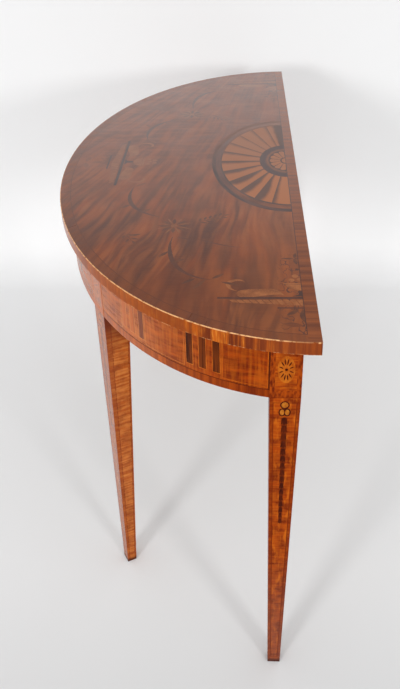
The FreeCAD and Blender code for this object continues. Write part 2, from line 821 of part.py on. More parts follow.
def band_sprig():
    """Three small leaves beside the back string line."""
    root = Vec(band_sprig_share * half_width, field_back_y - band_sprig_leaf_width, 0)
    side_rise = band_sprig_leaf_width / 2
    leaves = []
    for reach in (Vec(0, -band_sprig_height, 0), Vec(band_sprig_half_width, side_rise, 0),
                  Vec(-band_sprig_half_width, side_rise, 0)):
        start = root + Vec(reach).normalize() * inlay_gap
        leaves.append(leaf_inlay(start, root + reach, band_sprig_leaf_width))
    return leaves


def group_point(shares):
    return Vec(shares[0] * group_half_length, shares[1] * group_half_length, 0)


def rope_lozenges():
    high = -plinth_bar_thickness / 2 - rope_clearance
    lozenges = []
    for index in range(-rope_lozenge_count, rope_lozenge_count):
        left = index * rope_lozenge_pitch + rope_lozenge_gap / 2
        right = left + rope_lozenge_pitch - rope_lozenge_gap
        out_share = abs(index + half_pitch_share) / rope_lozenge_count
        low = high - rope_width + out_share * (rope_width - rope_end_width)
        lozenges.append(polygon_inlay([Vec(left + rope_slant, low, 0), Vec(right + rope_slant, low, 0),
                                       Vec(right, high, 0), Vec(left, high, 0)]))
    return lozenges


def mirrored_points(points):
    return [Vec(-point.x, point.y, 0) for point in points]


def group_inlays():
    """Footed bowl of fruit on a plinth bar, with acanthus beside it and a rope and pendant below."""
    half_bar = plinth_bar_thickness / 2
    lower_reach = lower_bar_half_share * group_half_length
    lower_top = -lower_bar_drop_share * group_half_length
    fruit_radius = fruit_radius_share * group_half_length
    outline = [group_point(shares) for shares in acanthus_outline_shares]
    curl = [group_point(shares) for shares in acanthus_curl_shares]
    return {
        "plinth_bar_inlays": [
            bar_inlay(-group_half_length, group_half_length, -half_bar, half_bar),
            bar_inlay(-lower_reach, lower_reach, lower_top - lower_bar_thickness, lower_top),
            polygon_inlay([group_point(shares) for shares in tazza_foot_shares]),
        ],
        "rope_twist_inlays": rope_lozenges(),
        "acanthus_leaf_inlays": [
            leaf_inlay(group_point(start), group_point(tip), width_share * group_half_length)
            for start, tip, width_share in pendant_shares],
        "tazza_inlays": [
            polygon_inlay([group_point(shares) for shares in tazza_bowl_shares]),
            polygon_inlay([group_point(shares) for shares in tazza_lip_shares]),
            rounded_inlay(outline),
            rounded_inlay(mirrored_points(outline)),
            scroll_inlay(curl, acanthus_curl_thickness),
            scroll_inlay(mirrored_points(curl), acanthus_curl_thickness),
        ] + [disc_inlay(group_point(shares), fruit_radius) for shares in fruit_place_shares],
    }


def half_field_inlays():
    flower = field_point(*flower_centre_shares)
    wheat = [field_point(*wheat_base_shares), field_point(*wheat_tip_shares)]
    sprig = [field_point(*sprig_base_shares), field_point(*sprig_tip_shares)]
    scrolls = []
    for thickness, paths in ((scroll_thickness, [outer_scroll_shares, inner_scroll_shares]),
                             (tendril_thickness, [tendril_shares, hook_shares])):
        for path in paths:
            scrolls.append(scroll_inlay([field_point(*shares) for shares in path], thickness))
    leaves = band_sprig() + [stem_inlay(*stem, wheat_stem_width) for stem in (wheat, sprig)]
    for start, tip in leaf_end_shares:
        leaves.append(leaf_inlay(field_point(*start), field_point(*tip), leaf_width))
    highlights = flower_inlays(flower_highlight_length, flower_highlight_width, half_pitch_share)
    return {
        "scroll_inlays": scrolls,
        "acanthus_leaf_inlays": leaves,
        "flower_petal_inlays": flower_inlays(flower_petal_length, flower_petal_width, 0),
        "flower_highlight_inlays": highlights + [disc_inlay(flower, flower_eye_radius)],
        "wheat_ear_inlays": ear_inlays(*wheat, wheat_pair_count) + ear_inlays(*sprig, sprig_pair_count),
    }


def group_place(x, y, turn):
    return FreeCAD.Placement(Vec(x, y, table_height), FreeCAD.Rotation(Vec(0, 0, 1), turn))


inlays = {}
for place in (group_place(0, back_y - front_group_share * table_depth, 0),
              group_place(end_group_share * half_width, field_back_y, 90),
              group_place(-end_group_share * half_width, field_back_y, -90)):
    for node, pieces in group_inlays().items():
        inlays.setdefault(node, []).extend(placed(piece, place) for piece in pieces)
for node, pieces in half_field_inlays().items():
    right_pieces = [placed(piece, surface) for piece in pieces]
    left_pieces = [piece.mirror(Vec(0, 0, 0), Vec(1, 0, 0)) for piece in right_pieces]
    inlays.setdefault(node, []).extend(right_pieces + left_pieces)

let_in = [fan_blank]
for node, pieces in inlays.items():
    node_solids = []
    for piece in pieces:
        neighbours = [solid for solid in let_in if solid.BoundBox.intersect(piece.BoundBox)]
        fitted = piece.common(field_blank)
        if neighbours:
            fitted = fitted.cut(neighbours)
        node_solids += fitted.Solids
        let_in += fitted.Solids
    save(node, node_solids)
save("top_field_veneer", field_blank.cut(let_in).Solids)
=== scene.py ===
import math

import bpy
from mathutils import Matrix, Vector


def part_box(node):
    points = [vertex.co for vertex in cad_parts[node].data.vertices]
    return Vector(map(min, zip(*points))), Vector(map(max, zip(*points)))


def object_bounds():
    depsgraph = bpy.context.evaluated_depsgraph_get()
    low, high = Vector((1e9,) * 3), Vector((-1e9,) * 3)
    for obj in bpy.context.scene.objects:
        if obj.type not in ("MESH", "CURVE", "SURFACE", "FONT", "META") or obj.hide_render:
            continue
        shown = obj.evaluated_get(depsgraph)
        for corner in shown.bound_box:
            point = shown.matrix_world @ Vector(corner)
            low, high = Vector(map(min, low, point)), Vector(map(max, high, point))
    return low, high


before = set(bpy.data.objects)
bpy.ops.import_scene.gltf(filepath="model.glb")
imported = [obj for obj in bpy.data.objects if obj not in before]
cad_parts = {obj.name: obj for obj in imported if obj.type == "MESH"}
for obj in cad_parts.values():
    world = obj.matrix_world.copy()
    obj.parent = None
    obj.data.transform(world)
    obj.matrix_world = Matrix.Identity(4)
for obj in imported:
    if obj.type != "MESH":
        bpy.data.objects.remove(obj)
cad_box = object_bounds()

# Sizes read from the frame, in metres
low_corner, high_corner = cad_box
half_width = (high_corner.x - low_corner.x) / 2
table_depth = high_corner.y - low_corner.y
rim_radius = (half_width + table_depth) / 2
back_y = high_corner.y
table_top = high_corner.z
top_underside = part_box("top_edge_banding")[0].z
back_band_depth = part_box("top_back_crossband")[1].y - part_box("top_back_crossband")[0].y
field_back = back_y - back_band_depth
frieze_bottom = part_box("back_rail")[0].z
frieze_height = top_underside - frieze_bottom
frieze_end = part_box("right_frieze_veneer")[1].y
front_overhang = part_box("centre_frieze_veneer")[0].y - low_corner.y
fan_low, fan_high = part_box("fan_ground")
fan_half_width = (fan_high.x - fan_low.x) / 2
fan_depth = fan_high.y - fan_low.y
husk_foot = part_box("back_right_leg_husks")[0].z

# Sizes of a leg at its block and at its foot, in metres
leg_half_width = 0.0255
leg_depth = 0.051
foot_half_width = 0.0125
foot_depth = 0.021

# Woods, as linear colours
MAHOGANY_DARK = (0.100, 0.028, 0.013)
MAHOGANY = (0.274, 0.059, 0.011)
MAHOGANY_PALE = (0.400, 0.112, 0.026)
CROSSBAND_DARK = (0.135, 0.032, 0.010)
CROSSBAND_PALE = (0.340, 0.090, 0.022)
RIM_BAND_DARK = (0.118, 0.032, 0.012)
RIM_BAND_PALE = (0.240, 0.060, 0.015)
FRIEZE_BAND_DARK = (0.120, 0.012, 0.001)
FRIEZE_BAND_PALE = (0.340, 0.054, 0.002)
EDGE_DARK = (0.125, 0.019, 0.003)
EDGE = (0.450, 0.092, 0.004)
EDGE_PALE = (0.690, 0.240, 0.026)
EDGE_RED = (0.185, 0.034, 0.007)
# Worn wood of the edge's arrises, as pale as a painted highlight
WORN_WOOD_HIGHLIGHT = (0.840, 0.450, 0.200)
SATINWOOD_DARK = (0.125, 0.011, 0.001)
SATINWOOD = (0.300, 0.038, 0.001)
SATINWOOD_PALE = (0.520, 0.118, 0.006)
FADED_DARK = (0.300, 0.058, 0.007)
FADED_SATINWOOD = (0.540, 0.125, 0.016)
FADED_PALE = (0.600, 0.200, 0.040)
FADED_LEG_DARK = (0.250, 0.046, 0.005)
FADED_LEG = (0.395, 0.080, 0.008)
FADED_LEG_BAND = (0.255, 0.042, 0.005)
FADED_STRING = (0.350, 0.072, 0.009)
FADED_HUSK_DARK = (0.170, 0.034, 0.006)
FADED_HUSK_PALE = (0.280, 0.062, 0.010)
FADED_BOXWOOD = (0.500, 0.140, 0.022)
LEG_STRING = (0.120, 0.013, 0.001)
LEG_BAND = (0.150, 0.016, 0.001)
FOOT_BROWN = (0.150, 0.044, 0.016)
HUSK_DARK = (0.036, 0.004, 0.001)
HUSK_PALE = (0.100, 0.012, 0.001)
PATERA_PALE = (0.490, 0.132, 0.010)
PATERA_SHADED = (0.320, 0.062, 0.003)
BOXWOOD = (0.500, 0.180, 0.021)
BOXWOOD_SHADED = (0.310, 0.078, 0.005)
FAN_PALE = (0.330, 0.115, 0.044)
FAN_NEAR = (0.420, 0.130, 0.034)
FAN_SCORCHED = (0.060, 0.024, 0.018)
FAN_RING_TAN = (0.200, 0.066, 0.026)
FAN_RING = (0.075, 0.030, 0.026)
DARK_INLAY = (0.060, 0.026, 0.021)
DARK_INLAY_WORN = (0.120, 0.046, 0.030)
SCROLL_DARK = (0.098, 0.034, 0.020)
SCROLL_WORN = (0.150, 0.046, 0.022)
STAINED_DARK = (0.092, 0.031, 0.018)
STAINED_PALE = (0.195, 0.062, 0.022)
HIGHLIGHT = (0.290, 0.104, 0.034)
TAZZA_SHADED = (0.230, 0.066, 0.019)
TAZZA_PALE = (0.450, 0.150, 0.043)
TAZZA_DIM = (0.210, 0.062, 0.020)
FLUTE_DARK = (0.046, 0.008, 0.001)
FLUTE_WORN = (0.190, 0.034, 0.002)
FLUTE_FADED = (0.240, 0.050, 0.010)
PINE_DARK = (0.170, 0.085, 0.036)
PINE_PALE = (0.380, 0.230, 0.110)
STEEL_DULL = (0.160, 0.140, 0.120)
STEEL_BRIGHT = (0.420, 0.400, 0.380)
# Studio paper, with painted light: the near floor darker, the wall paler low down than high up
NEAR_FLOOR_PAPER = (0.725, 0.730, 0.735)
FAR_FLOOR_PAPER = (0.885, 0.891, 0.897)
LOW_WALL_PAPER = (0.962, 0.966, 0.970)
HIGH_WALL_PAPER = (0.882, 0.886, 0.890)

# Polish and wax
TOP_POLISH = {"Specular IOR Level": 0.15, "Coat IOR": 1.8}
EDGE_POLISH = {"Specular IOR Level": 0.10, "Coat IOR": 1.5}
SIDE_POLISH = {"Specular IOR Level": 0.05, "Coat IOR": 1.5}
BARE_WOOD = {"Specular IOR Level": 0.25}
BARE_STEEL = {"Specular IOR Level": 0.35}
wax_roughness = 0.2
near_wax = 0.24
far_wax = 0.32
fan_wax = 0.2
side_wax = 0.5
fine_relief = 0.00002


# Shader sums
class Value:
    """A shader socket that takes part in Python sums; each sum adds its Math node."""

    def __init__(self, shading, socket):
        self.shading = shading
        self.socket = socket

    def other(self, name):
        """Another output of the same node."""
        return Value(self.shading, self.socket.node.outputs[name])

    def math(self, operation, *values):
        return self.shading.node("Math", dict(enumerate(values)), operation=operation)

    def __add__(self, value):
        return self.math("ADD", self, value)

    def __radd__(self, value):
        return self.math("ADD", value, self)

    def __sub__(self, value):
        return self.math("SUBTRACT", self, value)

    def __rsub__(self, value):
        return self.math("SUBTRACT", value, self)

    def __mul__(self, value):
        return self.math("MULTIPLY", self, value)

    def __rmul__(self, value):
        return self.math("MULTIPLY", value, self)

    def __truediv__(self, value):
        return self.math("DIVIDE", self, value)

    def __abs__(self):
        return self.math("ABSOLUTE", self)

    def least(self, value):
        return self.math("MINIMUM", self, value)

    def most(self, value):
        return self.math("MAXIMUM", self, value)

    def root(self):
        return self.math("SQRT", self)

    def fraction(self):
        return self.math("FRACT", self)

    def whole(self):
        return self.math("FLOOR", self)

    def turn_from(self, across):
        """Angle of the point that lies this far forward and so far across."""
        return self.math("ARCTAN2", self, across)

    def rise(self, start, end):
        """Smooth step from 0 at start to 1 at end."""
        ends = {"Value": self, "From Min": start, "From Max": end}
        return self.shading.node("MapRange", ends, interpolation_type="SMOOTHSTEP")

    def between(self, low, high):
        """From low to high as this value goes from 0 to 1."""
        return self * (high - low) + low

    def towards(self, target, share):
        """This value, moved by a share of its way to a target."""
        return self + (target - self) * share


class Shading:
    """A node tree whose nodes are written as expressions."""

    def __init__(self, tree):
        self.tree = tree
        self.tree.nodes.clear()

    def node(self, kind, sockets=None, output=0, **settings):
        """A new node: its settings first, then the values or links of its sockets."""
        made = self.tree.nodes.new("ShaderNode" + kind)
        for setting, value in settings.items():
            setattr(made, setting, value)
        for name, value in (sockets or {}).items():
            self.feed(made.inputs[name], value)
        return Value(self, made.outputs[output]) if made.outputs else None

    def feed(self, socket, value):
        if isinstance(value, Value):
            self.tree.links.new(value.socket, socket)
        elif isinstance(value, tuple) and socket.type == "RGBA":
            socket.default_value = (*value, 1)
        else:
            socket.default_value = value


class Finish(Shading):
    """A material; x, y and z are the place of a point of the piece that wears it."""

    def __init__(self, name):
        self.material = bpy.data.materials.new(name)
        self.material.use_nodes = True
        super().__init__(self.material.node_tree)
        self.x = self.node("SeparateXYZ", {0: self.node("TexCoord", output="Object")})
        self.y = self.x.other("Y")
        self.z = self.x.other("Z")
        self.point = (self.x, self.y, self.z)

    def facing(self, way):
        """How squarely the surface faces a level way: 1 straight at it, 0 edge on, -1 away."""
        normal = self.node("SeparateXYZ", {0: self.node("NewGeometry", output="Normal")})
        return normal * way.x + normal.other("Y") * way.y

    def noise(self, point, size, seed=0.0, levels=None, detail=2.0, roughness=0.5):
        """Noise of a size along each coordinate of the point; a seed fills the next coordinate.

        The levels are the two strengths of the noise that become 0 and 1.
        """
        sizes = size if isinstance(size, tuple) else (size,) * len(point)
        stretched = [value / length for value, length in zip(point, sizes)] + [seed]
        vector = self.node("CombineXYZ", dict(enumerate(stretched[:3])))
        sockets = {"Vector": vector, "Scale": 1.0, "Detail": detail, "Roughness": roughness}
        pattern = self.node("TexNoise", sockets)
        return pattern.rise(*levels) if levels else pattern

    def sway(self, point, size, reach, detail=2.0):
        """Noise that swings to both sides of 0, over so much reach in all."""
        return (self.noise(point, size, detail=detail) - 0.5) * reach

    def blend(self, mask, first, second, strength=1.0):
        """The second colour over the first, as far as the mask and the strength say."""
        share = mask if strength == 1.0 else mask * strength
        return self.node("Mix", {0: share, 6: first, 7: second}, output=2, data_type="RGBA")

    def surface(self, colour, roughness, height, relief=fine_relief, coat=0.0,
                polish=SIDE_POLISH, metallic=0.0):
        """Polished surface; height is a bump of so many metres of relief, coat a wax over the polish."""
        bump = self.node("Bump", {"Strength": 1.0, "Distance": relief, "Height": height})
        sockets = {"Base Color": colour, "Roughness": roughness, "Metallic": metallic, "Normal": bump,
                   "Coat Weight": coat, "Coat Roughness": wax_roughness, **polish}
        self.node("OutputMaterial", {"Surface": self.node("BsdfPrincipled", sockets)})
        return self.material


# Coordinates that follow the table
def rim_place(finish):
    """Shares of the way across and forward to the rim, from the middle of the back edge."""
    return finish.x / half_width, (back_y - finish.y) / table_depth


def rim_along(finish):
    """Distance along the rim from its near end."""
    across, forward = rim_place(finish)
    return forward.turn_from(across) * rim_radius


def rim_out(finish):
    """Distance out towards the rim, as it is in the middle of the table."""
    across, forward = rim_place(finish)
    return (across * across + forward * forward).root() * table_depth


def fan_place(finish):
    """Number of wedges round the fan from its near end, and share of the way out to its rim."""
    across = finish.x / fan_half_width
    forward = (fan_high.y - finish.y) / fan_depth
    turn = forward.turn_from(across) * (fan_wedge_count / math.pi)
    return turn, (across * across + forward * forward).root()


# Parts of a wood's look
def fibres(finish, along, *across, length, width):
    """Fine threads that run with the grain."""
    return finish.noise((along, *across), size=(length, width, width), detail=3.0, roughness=0.6)


def pores(finish, along, across, length=0.012, width=0.0007):
    """Short dark pores that run with the grain."""
    return finish.noise((along, across), size=(length, width), levels=(0.60, 0.72), detail=1.0)


def soft_sheen(finish):
    """Hand-rubbed polish: roughness that changes slowly."""
    return finish.noise(finish.point, size=0.05, detail=3.0).between(0.24, 0.40)


def inlay_grain(finish, point, patch):
    """Tone of a small inlay, from its shading and its threads, and the threads themselves."""
    patches = finish.noise(point, size=patch, levels=(0.32, 0.70), detail=3.0)
    threads = finish.noise(point, size=(0.004, 0.0016, 0.008), detail=3.0)
    return patches * 0.65 + threads.rise(0.4, 0.7) * 0.35, threads


def inlay_wood(name, dark, pale, patch=0.03, coat=0.0, polish=SIDE_POLISH):
    """Small inlay: a plain wood with a little grain and shading."""
    finish = Finish(name)
    tone, threads = inlay_grain(finish, finish.point, patch)
    colour = finish.blend(tone, dark, pale)
    return finish.surface(colour, soft_sheen(finish), threads, coat=coat, polish=polish)


def crossband_wood(finish, along, across, dark, pale, coat, polish):
    """Cross-grain band: the grain runs across the band."""
    strips = finish.noise((along, across), size=(0.012, 0.3), levels=(0.28, 0.74),
                          detail=4.0, roughness=0.6)
    threads = fibres(finish, across, along, length=0.03, width=0.0010)
    pore = pores(finish, across, along, length=0.010)
    colour = finish.blend(strips, dark, pale)
    colour = finish.blend(threads.rise(0.45, 0.75), colour, pale, strength=0.3)
    colour = finish.blend(pore, colour, dark, strength=0.5)
    roughness = strips.between(0.27, 0.41)
    return finish.surface(colour, roughness, threads - pore, relief=0.00003, coat=coat, polish=polish)


# Stretches of the top over which something sets in, along its width and its depth, in metres
near_wax_x = (0.62, 0.20)
far_wax_x = (0.35, -0.75)
soft_figure_x = (0.38, -0.22)
# Painted light on the near half of the field: a pale glow towards the back, shade towards the front
painted_glow_x = (0.05, 0.30)
painted_glow_y = (0.10, 0.22)
shaded_x = (0.45, 0.56)
shaded_y = (0.13, 0.06)
corner_x = (0.44, 0.50)
corner_from_band = (0.045, 0.030)
front_inlay_x = (0.30, 0.16)
far_inlay_x = (-0.35, -0.50)
end_inlay_x = (0.690, 0.700)
back_string_y = (field_back - 0.009, field_back - 0.003)
figure_ray_centre = 1.25
figure_line_width = 0.009


# Finishes of the top
def top_wax(finish):
    """Wax on the top, thicker towards the far end."""
    return finish.x.rise(*near_wax_x) * near_wax + finish.x.rise(*far_wax_x) * far_wax


def polished_top(finish, colour, height, coat, relief=fine_relief):
    """Hand-rubbed polish of the top, under a coat of wax."""
    return finish.surface(colour, soft_sheen(finish), height, relief, coat, TOP_POLISH)


def field_figure(finish):
    """Feathered figure: bands that spread like rays from beyond the far end, softer towards it; painted
    glow and shade at the near end.
    """
    x, y = finish.x, finish.y
    rays = (back_y - y) / (x + figure_ray_centre) * figure_ray_centre
    bent = rays + finish.sway((x, y), size=(0.26, 0.12), reach=0.040, detail=1.0)
    soft = x.rise(*soft_figure_x)
    broad = finish.noise((x, bent), size=(0.26, 0.022), levels=(0.34, 0.66), detail=2.5)
    broad = broad.towards(0.55, soft * 0.55)
    line_size = (0.10, figure_line_width)
    narrow = finish.noise((x, bent), line_size, seed=2.0 / figure_line_width, levels=(0.36, 0.66))
    slow = finish.noise((x, y), size=(0.20, 0.12), seed=7.0, levels=(0.35, 0.65))
    clouds = finish.noise((x, y), size=(0.11, 0.060), seed=11.0, levels=(0.40, 0.66), detail=3.0)
    ripples = finish.noise((x, y), size=(0.018, 0.09), seed=4.0, levels=(0.42, 0.68), detail=3.0)
    # Painted glow towards the back and painted shade towards the front, both at the near end
    painted_glow = y.rise(*painted_glow_y) * x.rise(*painted_glow_x)
    shaded = x.rise(*shaded_x) * y.rise(*shaded_y)
    lines = narrow * soft.between(1.0, 0.35) * slow.between(0.20, 0.60)
    colour = finish.blend(broad, MAHOGANY_DARK, MAHOGANY)
    colour = finish.blend(lines, colour, MAHOGANY_PALE)
    colour = finish.blend(clouds * soft.between(0.40, 0.52), colour, MAHOGANY_DARK)
    colour = finish.blend(ripples * soft, colour, MAHOGANY_PALE, strength=0.20)
    colour = finish.blend(painted_glow, colour, MAHOGANY_PALE, strength=0.28)
    return finish.blend(shaded, colour, MAHOGANY_DARK, strength=0.35)


def corner_contours(finish):
    """Crinkled outlines of the corner marquetry, beside the back band."""
    in_corner = abs(finish.x).rise(*corner_x) * (field_back - finish.y).rise(*corner_from_band)
    wandering = finish.noise((finish.x, finish.y), size=(0.026, 0.018), seed=9.0)
    return abs(wandering - 0.5).rise(0.022, 0.006) * in_corner


def figured_mahogany():
    """The field: figured wood with the carved-looking contours of the corner marquetry."""
    finish = Finish("figured_mahogany")
    threads = fibres(finish, finish.y, finish.x, length=0.05, width=0.0011)
    pore = pores(finish, finish.y, finish.x)
    colour = field_figure(finish)
    colour = finish.blend(threads.rise(0.45, 0.75), colour, MAHOGANY_PALE, strength=0.2)
    colour = finish.blend(pore, colour, MAHOGANY_DARK, strength=0.25)
    colour = finish.blend(corner_contours(finish), colour, DARK_INLAY, strength=0.8)
    return polished_top(finish, colour, threads * 0.4 - pore * 0.6, top_wax(finish), relief=0.00004)


def back_crossband():
    """Crossband along the straight back edge."""
    finish = Finish("back_crossband")
    wax = top_wax(finish)
    return crossband_wood(finish, finish.x, finish.y, CROSSBAND_DARK, CROSSBAND_PALE, wax, TOP_POLISH)


def rim_crossband():
    """Crossband along the rim, nearly lost in the figure of the field."""
    finish = Finish("rim_crossband")
    figure = field_figure(finish)
    dark = finish.blend(0.55, RIM_BAND_DARK, figure)
    pale = finish.blend(0.55, RIM_BAND_PALE, figure)
    along = rim_along(finish)
    return crossband_wood(finish, along, rim_out(finish), dark, pale, top_wax(finish), TOP_POLISH)


def field_inlay(name, dark, pale, dim, patch=0.03):
    """Marquetry of the field; in front of the fan and at the ends it has worn towards a dimmer tone."""
    finish = Finish(name)
    tone, threads = inlay_grain(finish, (finish.x, finish.y), patch)
    from_middle = abs(finish.x)
    in_front = from_middle.rise(*front_inlay_x)
    at_ends = finish.x.rise(*far_inlay_x).most(from_middle.rise(*end_inlay_x))
    colour = finish.blend(tone, dark, pale)
    colour = finish.blend(in_front.most(at_ends), colour, dim, strength=0.6)
    return polished_top(finish, colour, threads, top_wax(finish))


def top_string():
    """Dark along the back band, nearly lost in the field along the rim."""
    finish = Finish("top_string")
    broken = finish.noise((finish.x, finish.y), size=0.02, levels=(0.3, 0.6), detail=3.0)
    beside_back = finish.y.rise(*back_string_y)
    colour = finish.blend(beside_back * broken.between(0.5, 1.0), RIM_BAND_DARK, DARK_INLAY)
    return polished_top(finish, colour, broken, top_wax(finish))


# Stretches of the curved edge over which something sets in, in metres
edge_front_y = (0.10, 0.03)
edge_end_y = (0.13, 0.21)
dark_end_y = (back_y - 0.0025, back_y - 0.0010)
# Arris lines: worn wood with a painted highlight over it
rubbed_and_lit_x = (0.0, 0.30)
rubbed_and_lit_y = (0.235, 0.19)
upper_arris_z = (table_top - 0.0020, table_top - 0.0008)
lower_arris_x = (0.50, 0.38)
lower_arris_z = (top_underside + 0.0016, top_underside + 0.0004)
chip_front_y = (back_y - 0.0075, back_y - 0.0055)
chip_back_y = (back_y - 0.0025, back_y - 0.0040)
chip_z = (table_top - 0.0028, table_top - 0.0012)
edge_wax_x = (0.60, 0.30)


# Finishes of the edge
def arris_wear_and_highlight(finish, along):
    """Worn wood along both arrises, lightened further as a painted highlight, with a chip at the corner.
    """
    x, y, z = finish.point
    chips = finish.noise((along, z), size=(0.010, 0.004), detail=4.0, roughness=0.7)
    rubbed_and_lit = (x.rise(*rubbed_and_lit_x) * y.rise(*rubbed_and_lit_y)).between(0.3, 1.0)
    upper = z.rise(*upper_arris_z) * chips.rise(0.36, 0.54) * rubbed_and_lit
    lower = z.rise(*lower_arris_z) * chips.rise(0.48, 0.60) * x.rise(*lower_arris_x).between(0.5, 0.9)
    corner_chip = y.rise(*chip_front_y) * y.rise(*chip_back_y) * z.rise(*chip_z)
    return upper.most(lower).most(corner_chip * 0.8)


def worn_edge_banding():
    """Upright grain on the curved edge, redder at the ends, pale along both arrises where it is worn and
    where a highlight is painted.
    """
    finish = Finish("worn_edge_banding")
    x, y, z = finish.point
    along = rim_along(finish)
    in_front = y.rise(*edge_front_y)
    near_end = y.rise(*edge_end_y)
    strips = finish.noise((along, z), size=(0.014, 0.30), levels=(0.38, 0.60), detail=5.0, roughness=0.70)
    strips = strips.towards(0.70, in_front * 0.7)
    flecks = finish.noise((along, z), size=(0.004, 0.020), seed=6.0, levels=(0.46, 0.74), detail=3.0)
    stains = finish.noise((along, z), size=0.06, seed=3.0, levels=(0.46, 0.64), detail=3.0)
    threads = fibres(finish, z, along, length=0.03, width=0.0011)
    wear_and_highlight = arris_wear_and_highlight(finish, along)
    colour = finish.blend(strips, EDGE_DARK, EDGE)
    colour = finish.blend(flecks * strips * (0.7 - 0.4 * in_front - 0.3 * near_end), colour, EDGE_PALE)
    colour = finish.blend(stains, colour, EDGE_RED, strength=0.5)
    colour = finish.blend(near_end * strips.between(0.90, 0.68), colour, EDGE_RED)
    colour = finish.blend(y.rise(*dark_end_y), colour, EDGE_DARK, strength=0.8)
    # Painted highlight along the arrises, over the worn wood
    colour = finish.blend(wear_and_highlight, colour, WORN_WOOD_HIGHLIGHT)
    roughness = strips.between(0.28, 0.42) + wear_and_highlight * 0.2
    height = threads - wear_and_highlight * 2
    wax = abs(x).rise(*edge_wax_x) * side_wax
    return finish.surface(colour, roughness, height, relief=0.00004, coat=wax, polish=EDGE_POLISH)


# Stretches of the fan, in wedges from its near end and in shares of the way out to its rim
fan_wedge_count = 12
wedge_tone_size = 1 / 3.7
deep_wedges = (5.0, 3.0)
after_first_wedge = (0.0, 1.0)
last_wedge = (10.0, 11.0)
warm_wedges = (7.0, 1.0)
light_wedges = (5.0, 8.0)
scorch_inner_shares = (0.35, 0.62)
scorch_outer_shares = (0.98, 0.74)
dark_border_near = (2.4, 4.4)
dark_border_far = (9.6, 7.6)
faded_border = (8.2, 10.0)
faded_ground = (5.2, 8.6)
ground_line_shares = (0.78, 0.86)
burnt_ring_shares = (0.245, 0.285)


# Finishes of the fan
def sand_shaded_fan():
    """Satinwood wedges scorched along one side in hot sand, most deeply towards the near end."""
    finish = Finish("sand_shaded_fan")
    turn, out = fan_place(finish)
    number = turn.whole()
    own_tone = finish.noise((number,), size=wedge_tone_size, detail=0.0)
    half_way = out.rise(*scorch_inner_shares) * out.rise(*scorch_outer_shares)
    deep = number.rise(*deep_wedges) * number.rise(*after_first_wedge) * half_way
    last = number.rise(*last_wedge)
    ragged = finish.sway((out, turn), size=(0.12, 2 / 3), reach=0.2)
    reach = turn.fraction() + ragged + deep * 0.30 + last * 0.42 + own_tone * 0.3 - 0.15
    depth = 0.85 - 0.30 * number.rise(*light_wedges) * (1 - last)
    threads = fibres(finish, out, turn, length=0.25, width=0.045)
    colour = finish.blend(number.rise(*warm_wedges), FAN_PALE, FAN_NEAR)
    colour = finish.blend(own_tone.rise(0.3, 0.7), colour, MAHOGANY_PALE, strength=0.3)
    colour = finish.blend(threads.rise(0.4, 0.8), colour, FAN_NEAR, strength=0.3)
    colour = finish.blend(reach.rise(0.62, 0.98) * depth, colour, FAN_SCORCHED)
    return polished_top(finish, colour, threads, fan_wax)


def fan_border_wood():
    """Band round the fan: scorched in front, red towards the near end, faded towards the far end."""
    finish = Finish("fan_border_wood")
    turn, out = fan_place(finish)
    patches = finish.noise((turn, out), size=(1.2, 0.06), detail=3.0)
    in_front = turn.rise(*dark_border_near) * turn.rise(*dark_border_far)
    colour = finish.blend(patches.rise(0.3, 0.7), RIM_BAND_DARK, RIM_BAND_PALE)
    colour = finish.blend(in_front * patches.between(0.25, 0.75), colour, FAN_RING)
    colour = finish.blend(turn.rise(*faded_border), colour, FAN_RING_TAN, strength=0.6)
    return polished_top(finish, colour, patches, top_wax(finish))


def fan_ground_wood():
    """Dark ground between the wedges; its outer lines fade towards the far end."""
    finish = Finish("fan_ground_wood")
    turn, out = fan_place(finish)
    patches = finish.noise((turn, out), size=(0.8, 0.05), levels=(0.32, 0.70), detail=3.0)
    faded = turn.rise(*faded_ground) * out.rise(*ground_line_shares)
    colour = finish.blend(patches, DARK_INLAY, DARK_INLAY_WORN)
    colour = finish.blend(faded, colour, FAN_RING_TAN, strength=0.75)
    return polished_top(finish, colour, patches, fan_wax)


def scorched_ring():
    """Ring round the fan's rays, burnt dark along its outer edge."""
    finish = Finish("scorched_ring")
    turn, out = fan_place(finish)
    patches = finish.noise((turn, out), size=(1.2, 0.06), detail=3.0)
    burnt = (out + (patches - 0.5) * 0.05).rise(*burnt_ring_shares)
    colour = finish.blend(burnt, FAN_RING_TAN, FAN_RING)
    return polished_top(finish, colour, patches, fan_wax)


# Stretches of the frieze over which something sets in, from the middle of the table, in metres
faded_frieze_x = (0.715, 0.565)
joint_and_shadow_y = (frieze_end - 0.0035, frieze_end - 0.0020)
red_flute_inner_x = (0.6700, 0.6725)
red_flute_outer_x = (0.6855, 0.6830)
faded_flutes_x = (0.62, 0.58)
lost_flutes_x = (0.578, 0.571)
past_front_leg_x = (0.44, 0.47)
worn_flute_shares = (0.90, 0.30)


# Finishes of the frieze
def front_fade(finish):
    """How far the frieze has faded: none at the back legs, most in front."""
    return abs(finish.x).rise(*faded_frieze_x)


def polished_frieze(finish, colour, roughness, height, fade):
    """Polish of the frieze, waxed where it has faded."""
    return finish.surface(colour, roughness, height, coat=fade * side_wax)


